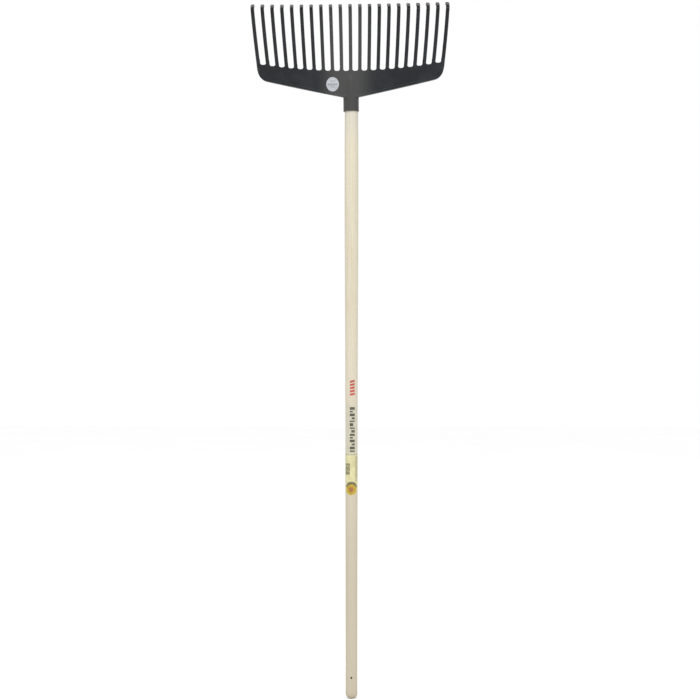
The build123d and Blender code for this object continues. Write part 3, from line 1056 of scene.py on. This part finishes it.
class HAYRAKE_OT_head(bpy.types.Operator):
    """Mould the rake head: plate, rim, ribs, socket and the fan of hooked tines"""

    bl_idname = "hayrake.make_head"
    bl_label = "Rake Head"

    def execute(self, context):
        sizes = context.scene.hayrake_head
        handle = context.scene.hayrake_handle
        shape = HeadShape(sizes, handle.mouth_radius)
        material = plastic_material(sizes, shape)
        edge, grid = 0.9 * MM, 2.6 * MM
        verts, faces = slab(shape.plate_outline(), shape.plate_front, shape.plate_back, edge, grid, grid)
        head = new_piece("moulded_head", verts, faces, material)
        boss = socket_boss(shape, material)

        numbers = range(-sizes.tine_pairs, sizes.tine_pairs + 1)
        paths = [shape.tine_path(number) for number in numbers]
        tines = swept_bars("tines", paths, material, sizes.tine_width, sizes.tine_depth, 1.9 * MM, 4)
        added = [boss, tines] + self.rim_and_ribs(sizes, shape, material)

        back = shape.socket_radius
        seat_depth, seat_radius = 0.7 * MM, 4.6 * MM
        seat_start = (0, back - seat_depth, SCREW_LEVEL)
        cut = [
            socket_bore(handle),
            rod("screw_seat", seat_start, (0, back + 5 * MM, SCREW_LEVEL), seat_radius, 48),
            rod("screw_hole", (0, 5 * MM, SCREW_LEVEL), (0, 30 * MM, SCREW_LEVEL), SCREW_SHANK),
        ]
        seat(head, sizes)
        for helper in added:
            seat(helper, sizes)
            combine(head, helper, "UNION")
        for helper in cut:
            combine(head, helper, "DIFFERENCE")
        finish_mesh(head, radians(34))
        discard(*added, *cut)
        declare(head, "rake_head")
        return {"FINISHED"}

    def rim_and_ribs(self, sizes, shape, material):
        """The raised rim in front, and the edge rib, cross rib and upright ribs behind."""
        embed = 1.5 * MM  # how deep a bar is rooted in the plate
        fade_out = 15 * MM
        side_end = shape.slot_floor(shape.end) - 8 * MM
        rim_depth = sizes.rim_height + embed
        rim_line = shape.lower_edge(sizes.rim_width / 2, side_end)
        rim_path = rib_path(shape, rim_line, embed, -rim_depth, fade_out)
        rim_width = sizes.rim_width - 0.6 * MM
        bars = [swept_bars("rim", [rim_path], material, rim_width, rim_depth, 1.0 * MM)]

        depth = sizes.rib_depth + embed
        root = sizes.plate_thickness - embed
        edge_line = shape.lower_edge(sizes.rib_thickness / 2 + 0.3 * MM, side_end)
        level = shape.slot - 15 * MM
        side = shape.side_at(level, 1.5 * MM)
        uprights = []
        for number in (-9, -7, -5, -3, 3, 5, 7, 9):
            x = shape.tine(number, shape.slot)
            foot = shape.edge + abs(x) * shape.slope + 1.5 * MM
            line = [(x, foot), (x, shape.slot - 2 * MM)]
            uprights.append(rib_path(shape, line, root - 0.4 * MM, depth))
        ribs = {
            "edge_rib": [rib_path(shape, edge_line, root, depth, fade_out)],
            "cross_rib": [rib_path(shape, [(-side, level), (side, level)], root - 0.2 * MM, depth)],
            "upright_ribs": uprights,
        }
        for name, paths in ribs.items():
            bars.append(swept_bars(name, paths, material, sizes.rib_thickness, depth, 0.8 * MM))
        return bars


class HAYRAKE_OT_screw(bpy.types.Operator):
    """Give the socket screw its zinc plating"""

    bl_idname = "hayrake.finish_screw"
    bl_label = "Socket Screw"

    def execute(self, context):
        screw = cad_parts["socket_screw"]
        material = screw_material()
        for entry in screw.material_slots:
            entry.material = material
        return {"FINISHED"}


# ---------------------------------------------------------------- badge, mark, labels and seal


def box_outline(left, right, low, high, corner=0.0, steps=4):
    """An anticlockwise rectangle, with rounded corners when a corner is given."""
    if not corner:
        return refine([(left, low), (right, low), (right, high), (left, high), (left, low)], 2 * MM)[:-1]
    outline = arc((left + corner, low + corner), corner, -pi, -pi / 2, steps)
    outline += arc((right - corner, low + corner), corner, -pi / 2, 0, steps)
    outline += arc((right - corner, high - corner), corner, 0, pi / 2, steps)
    outline += arc((left + corner, high - corner), corner, pi / 2, pi, steps)
    return refine(outline + outline[:1], 2 * MM)[:-1]


def oval(centre, across, up, count=72):
    """An anticlockwise oval."""
    turns = [FULL_TURN * k / count for k in range(count)]
    return [(centre[0] + across * cos(turn), centre[1] + up * sin(turn)) for turn in turns]


def ring_sector(centre, inner, outer, start, end, steps=40):
    """An anticlockwise part of a ring."""
    far = arc(centre, outer, start, end, steps)
    near = arc(centre, inner, end, start, steps)
    return far + near


def joined_slabs(outlines, depth_front, depth_back, across=1.6 * MM, up=4 * MM):
    """Several flat slabs as one list of points and faces."""
    verts, faces = [], []
    for outline in outlines:
        some, rings = slab(outline, depth_front, depth_back, 0.0, across, up, 1)
        faces += [tuple(len(verts) + k for k in ring) for ring in rings]
        verts += some
    return verts, faces


def wrapped(name, outlines, handle, lift, thickness, material):
    """Flat slabs, drawn as arc length and height, wrapped on the handle's front."""
    lift += 0.01 * MM  # clear of the wood
    verts, faces = joined_slabs(outlines, lambda x, z: -lift - thickness, lambda x, z: -lift)
    piece = new_piece(name, verts, faces)
    foot = min(vert[2] for vert in verts)
    head = max(vert[2] for vert in verts)
    low, high = handle_radius(handle, foot), handle_radius(handle, head)
    values = {"Foot_Radius": low, "Foot_Height": foot, "Taper": (high - low) / (head - foot)}
    run_tree(piece, bpy.data.node_groups["wrapped_print"], **values, Finish=material)
    return piece


def bar_row(left, right, low, high, bars, gap):
    """A row of generic bars read down the handle, each (share of the length, start and end across)."""
    unit = (high - low - gap * (len(bars) - 1)) / sum(share for share, _, _ in bars)
    width = right - left
    outlines = []
    level = high
    for share, start, end in bars:
        bottom = level - share * unit
        outlines.append(box_outline(left + width * start, left + width * end, bottom, level, 0.4 * MM, 2))
        level = bottom - gap
    return outlines


class HAYRAKE_OT_badge(bpy.types.Operator):
    """Press the round foil badge on the plate, with generic rings and bars"""

    bl_idname = "hayrake.make_badge"
    bl_label = "Badge"

    def execute(self, context):
        sizes = context.scene.hayrake_print
        shape = HeadShape(context.scene.hayrake_head, context.scene.hayrake_handle.mouth_radius)
        across = (BADGE_HIGH.x - BADGE_LOW.x) / 2
        up = (BADGE_HIGH.z - BADGE_LOW.z) / 2
        centre = ((BADGE_LOW.x + BADGE_HIGH.x) / 2, (BADGE_LOW.z + BADGE_HIGH.z) / 2)

        def level(height):
            return lambda x, z: shape.bow(x)[0] - height

        foil = print_material("silver_foil", sizes.foil, 0.42, 0.35, 0.10, 0.2)
        grid = 1.6 * MM
        verts, faces = joined_slabs([oval(centre, across, up)], level(sizes.film), level(0.0), grid, grid)
        badge = new_piece("foil_badge", verts, faces, foil)
        seat(badge, context.scene.hayrake_head)
        finish_mesh(badge)
        declare(badge, "head_badge")

        grey = print_material("badge_grey_print", sizes.foil_print, 0.5)
        outlines = badge_marks(centre, across, up)
        top, foot = sizes.film + sizes.ink, sizes.film - 0.01 * MM
        verts, faces = joined_slabs(outlines, level(top), level(foot), grid, grid)
        marks = new_piece("badge_print", verts, faces, grey)
        seat(marks, context.scene.hayrake_head)
        finish_mesh(marks)
        declare(marks)
        return {"FINISHED"}


def badge_marks(centre, across, up):
    """A ring of dots, two wide bars and five short ones."""
    outlines = []
    dots = 30
    for k in range(dots):
        turn = FULL_TURN * (k + 0.5) / dots
        if abs(sin(turn)) > 0.34:
            spot = (centre[0] + 0.83 * across * cos(turn), centre[1] + 0.83 * up * sin(turn))
            outlines.append(oval(spot, 0.6 * MM, 0.6 * MM, 10))

    def bar(half, low, high, corner):
        sides = (centre[0] - half, centre[0] + half)
        outlines.append(box_outline(*sides, centre[1] + low * MM, centre[1] + high * MM, corner * MM, 2))

    for k, share in enumerate((1.0, 0.92)):
        base = 0.9 - 2.6 * k
        bar(0.86 * across * share, base - 1.1, base + 0.7, 0.3)
    for k in range(5):
        base = 4.6 + 1.9 * k if k < 3 else -(6.2 + 2.2 * (k - 3))
        bar((0.46 - 0.07 * abs(k - 2)) * across, base, base + 0.7, 0.2)
    return outlines


class HAYRAKE_OT_labels(bpy.types.Operator):
    """Wrap the red mark, the film label, the paper label and the seal round the handle"""

    bl_idname = "hayrake.make_labels"
    bl_label = "Mark, Labels and Seal"

    def execute(self, context):
        sizes = context.scene.hayrake_print
        handle = context.scene.hayrake_handle
        print_mark(sizes, handle)
        print_film(sizes, handle)
        print_paper(sizes, handle)
        print_seal(sizes, handle)
        return {"FINISHED"}


def print_mark(sizes, handle):
    """A plain hatch of slanted red bars printed on the wood."""
    red = print_material("red_print", sizes.red, 0.5)
    bars = 5
    slant = 2.4 * MM
    left, right = MARK_LOW.x + 0.3 * MM, MARK_HIGH.x - 0.3 * MM
    pitch = (MARK_HIGH.z - MARK_LOW.z - slant) / bars
    outlines = []
    for k in range(bars):
        low = MARK_LOW.z + pitch * k + 1.2 * MM
        high = low + 0.68 * pitch
        bar = [(left, low), (right, low + slant), (right, high + slant), (left, high), (left, low)]
        outlines.append(refine(bar, 1.5 * MM)[:-1])
    declare(wrapped("red_mark", outlines, handle, 0.0, sizes.ink, red), "maker_mark")


def print_film(sizes, handle):
    """The film label over the handle's front half, with a row of black bars."""
    half_turn = pi / 2 * handle_radius(handle, NAME_LOW.z)
    tinted = print_material("tinted_film", sizes.tint, 0.3, 0.0, 0.05, 0.5)
    outline = box_outline(-half_turn, half_turn, NAME_LOW.z, NAME_HIGH.z, 1.5 * MM)
    declare(wrapped("film_label", [outline], handle, 0.0, sizes.film, tinted), "name_label")
    black = print_material("black_print", sizes.black, 0.45)
    rhythm = (
        (1.0, 0.0, 1.0), (0.55, 0.0, 0.62), (1.0, 0.0, 1.0), (0.8, 0.38, 1.0), (0.55, 0.0, 1.0),
        (1.2, 0.0, 0.7), (0.55, 0.0, 1.0), (1.0, 0.3, 1.0), (0.8, 0.0, 1.0), (0.55, 0.0, 0.66),
        (1.0, 0.0, 1.0), (0.8, 0.34, 1.0), (1.0, 0.0, 1.0), (0.55, 0.0, 1.0),
    )
    left, right = -3.8 * MM, 8.4 * MM
    outlines = bar_row(left, right, NAME_LOW.z + 8 * MM, NAME_HIGH.z - 4.5 * MM, rhythm, 2.6 * MM)
    declare(wrapped("film_label_bars", outlines, handle, sizes.film, sizes.ink, black))


def print_paper(sizes, handle):
    """The paper label, cut away under the seal, with a block of small bars, a darker line at the film's lower
    edge and a painted shade strip down its right side.
    """
    centre, seal_radius = seal_place()
    half_turn = pi / 2 * handle_radius(handle, GRADE_LOW.z)
    paper = print_material("yellow_paper", sizes.paper, 0.55)
    start = asin(min(1.0, (GRADE_LOW.z - centre[1]) / seal_radius))
    label = [(-half_turn, GRADE_LOW.z)] + arc(centre, seal_radius, pi - start, start, 32)
    label += [(half_turn, GRADE_LOW.z), (half_turn, GRADE_HIGH.z), (-half_turn, GRADE_HIGH.z)]
    label = refine(label + label[:1], 3 * MM)[:-1]
    declare(wrapped("paper_label", [label], handle, 0.0, sizes.film, paper), "grade_label")

    text = []
    block_low, block_high = GRADE_LOW.z + 34 * MM, GRADE_LOW.z + 61 * MM
    run = block_high - block_low
    for k in range(5):
        left = -17.5 * MM + 2.9 * MM * k
        pieces = ((0.0, 0.42), (0.47, 0.8), (0.85, 1.0)) if k % 2 else ((0.0, 0.25), (0.3, 0.66), (0.72, 1.0))
        for first, last in pieces:
            low, high = block_low + run * first, block_low + run * last
            text.append(box_outline(left, left + 2.1 * MM, low, high, 0.2 * MM, 2))
    olive = print_material("olive_print", (0.07, 0.062, 0.022), 0.5)
    small = wrapped("paper_label_bars", text, handle, sizes.film, sizes.ink, olive)
    # Painted shade: the darker strip down the paper label's right side stands in for the shade on that side
    # of the handle; the thin band is the film label's darker lower edge
    shade = print_material("label_edge_and_shade_print", toned(sizes.paper, 0.74), 0.55)
    painted_shade_strip = box_outline(9 * MM, half_turn - 1 * MM, GRADE_LOW.z + 18 * MM, GRADE_HIGH.z - 1 * MM)
    reach = half_turn - 1.5 * MM
    fold = box_outline(-reach, reach, NAME_LOW.z + 0.4 * MM, NAME_LOW.z + 3 * MM)
    edge = wrapped("label_edge_and_shade", [painted_shade_strip, fold], handle, sizes.film, sizes.ink, shade)
    declare(small)
    declare(edge)


def seal_place():
    """The seal's centre in the front view and its radius."""
    return (0.0, (SEAL_LOW.z + SEAL_HIGH.z) / 2), (SEAL_HIGH.z - SEAL_LOW.z) / 2


def print_seal(sizes, handle):
    """The seal: cream disc, dark ring with pale ticks, gold disc set low and orange middle."""
    centre, radius = seal_place()
    low_centre = (centre[0], centre[1] - 0.15 * radius)
    cream = print_material("cream_paper", (0.46, 0.40, 0.13), 0.5)
    disc = wrapped("seal_disc", [oval(centre, radius, radius)], handle, 0.0, sizes.film, cream)
    declare(disc, "quality_seal")
    ring = ring_sector(centre, 0.60 * radius, 0.96 * radius, radians(-4), radians(184))
    ticks = []
    count = 15
    for k in range(count):
        turn = radians(12 + 156 * k / (count - 1))
        spot = (centre[0] + 0.83 * radius * cos(turn), centre[1] + 0.83 * radius * sin(turn))
        ticks.append(oval(spot, 0.85 * MM, 0.85 * MM, 10))
    gold = oval(low_centre, 0.77 * radius, 0.77 * radius)
    sun = sun_outline(low_centre, 0.28 * radius, 0.40 * radius, 12)
    layers = (
        ("seal_ring", [ring], 0, print_material("dark_green_print", sizes.green, 0.4, 0.0, 0.2, 0.3)),
        ("seal_gold", [gold], 1, print_material("gold_print", sizes.gold, 0.35, 0.3, 0.2, 0.3)),
        ("seal_ticks", ticks, 1, print_material("pale_print", (0.36, 0.355, 0.22), 0.5)),
        ("seal_middle", [sun], 2, print_material("orange_print", sizes.orange, 0.4, 0.0, 0.2, 0.2)),
    )
    for name, outlines, inks, finish in layers:
        lift = sizes.film + inks * sizes.ink
        declare(wrapped(name, outlines, handle, lift, sizes.ink, finish))


def sun_outline(centre, inner, outer, rays):
    """An anticlockwise scalloped disc."""
    outline = []
    count = rays * 6
    for k in range(count):
        turn = FULL_TURN * k / count
        radius = inner + (outer - inner) * (0.5 + 0.5 * cos(rays * turn))
        outline.append((centre[0] + radius * cos(turn), centre[1] + radius * sin(turn)))
    return outline


# ---------------------------------------------------------------- stage


def area_light(name, place, aim, size, power):
    """A soft rectangular light aimed at a point."""
    data = bpy.data.lights.new(name, "AREA")
    data.shape = "RECTANGLE"
    data.size, data.size_y = size
    data.energy = power
    light = bpy.data.objects.new(name, data)
    light.location = place
    light.rotation_euler = (Vector(aim) - Vector(place)).to_track_quat("-Z", "Y").to_euler()
    bpy.context.scene.collection.objects.link(light)


class HAYRAKE_OT_stage(bpy.types.Operator):
    """Set the camera, the soft lights and the pale floor"""

    bl_idname = "hayrake.make_stage"
    bl_label = "Stage"

    def execute(self, context):
        sizes = context.scene.hayrake_stage
        scene = context.scene
        data = bpy.data.cameras.new("camera")
        camera = bpy.data.objects.new("camera", data)
        scene.collection.objects.link(camera)
        turn = sizes.camera_turn
        sideways = Vector((cos(turn), sin(turn), 0))
        away = Vector((sin(turn), -cos(turn), 0))
        camera.location = away * sizes.camera_distance - sideways * sizes.aim_offset
        camera.location.z = sizes.camera_height
        camera.rotation_euler = (pi / 2, 0, turn)
        data.lens = data.sensor_width * sizes.camera_distance / sizes.view_width
        data.clip_end = 100
        scene.camera = camera

        reach = 14.0
        verts = [(-reach, -reach, 0), (reach, -reach, 0), (reach, reach, 0), (-reach, reach, 0)]
        ground = new_piece("studio_floor", verts, [(0, 1, 2, 3)], floor_material(sizes.floor))

        area_light("key_light", (-0.2, -2.7, 4.4), (0, 0, 1.1), (2.0, 1.6), 110)
        area_light("fill_light", (1.6, -3.4, 0.9), (0, 0, 0.9), (2.0, 1.6), 10)
        area_light("top_light", (0.0, -0.6, 3.8), (0, 0, 1.4), (2.5, 2.5), 12)
        world = bpy.data.worlds.new("studio")
        world.use_nodes = True
        background = world.node_tree.nodes["Background"].inputs
        background["Color"].default_value = (1, 1, 1, 1)
        background["Strength"].default_value = 1.0
        scene.world = world
        scene.view_settings.view_transform = "Standard"
        return {"FINISHED"}


# ---------------------------------------------------------------- panel, registration and the run


class HAYRAKE_PT_panel(bpy.types.Panel):
    """Lists the rake's pieces"""

    bl_idname = "HAYRAKE_PT_panel"
    bl_label = "Hay Rake"
    bl_space_type = "VIEW_3D"
    bl_region_type = "UI"
    bl_category = "Hay Rake"

    def draw(self, context):
        for operator in OPERATORS:
            self.layout.operator(operator.bl_idname)


SETTINGS = {
    "hayrake_handle": HandleSizes,
    "hayrake_head": HeadSizes,
    "hayrake_print": PrintSizes,
    "hayrake_stage": StageSizes,
}
OPERATORS = (
    HAYRAKE_OT_stage,
    HAYRAKE_OT_handle,
    HAYRAKE_OT_head,
    HAYRAKE_OT_screw,
    HAYRAKE_OT_badge,
    HAYRAKE_OT_labels,
)


def register():
    """Registers the settings, operators and panel."""
    for name, group in SETTINGS.items():
        bpy.utils.register_class(group)
        setattr(bpy.types.Scene, name, PointerProperty(type=group))
    for operator in OPERATORS:
        bpy.utils.register_class(operator)
    bpy.utils.register_class(HAYRAKE_PT_panel)


def unregister():
    """Removes the panel, operators and settings."""
    bpy.utils.unregister_class(HAYRAKE_PT_panel)
    for operator in reversed(OPERATORS):
        bpy.utils.unregister_class(operator)
    for name, group in SETTINGS.items():
        delattr(bpy.types.Scene, name)
        bpy.utils.unregister_class(group)


def main():
    """Builds every piece."""
    register()
    mottling_group()
    soiling_group()
    bar_tree()
    wrap_tree()
    bpy.ops.hayrake.make_stage()
    bpy.ops.hayrake.make_handle()
    bpy.ops.hayrake.make_head()
    bpy.ops.hayrake.finish_screw()
    bpy.ops.hayrake.make_badge()
    bpy.ops.hayrake.make_labels()


if __name__ == "__main__":
    main()
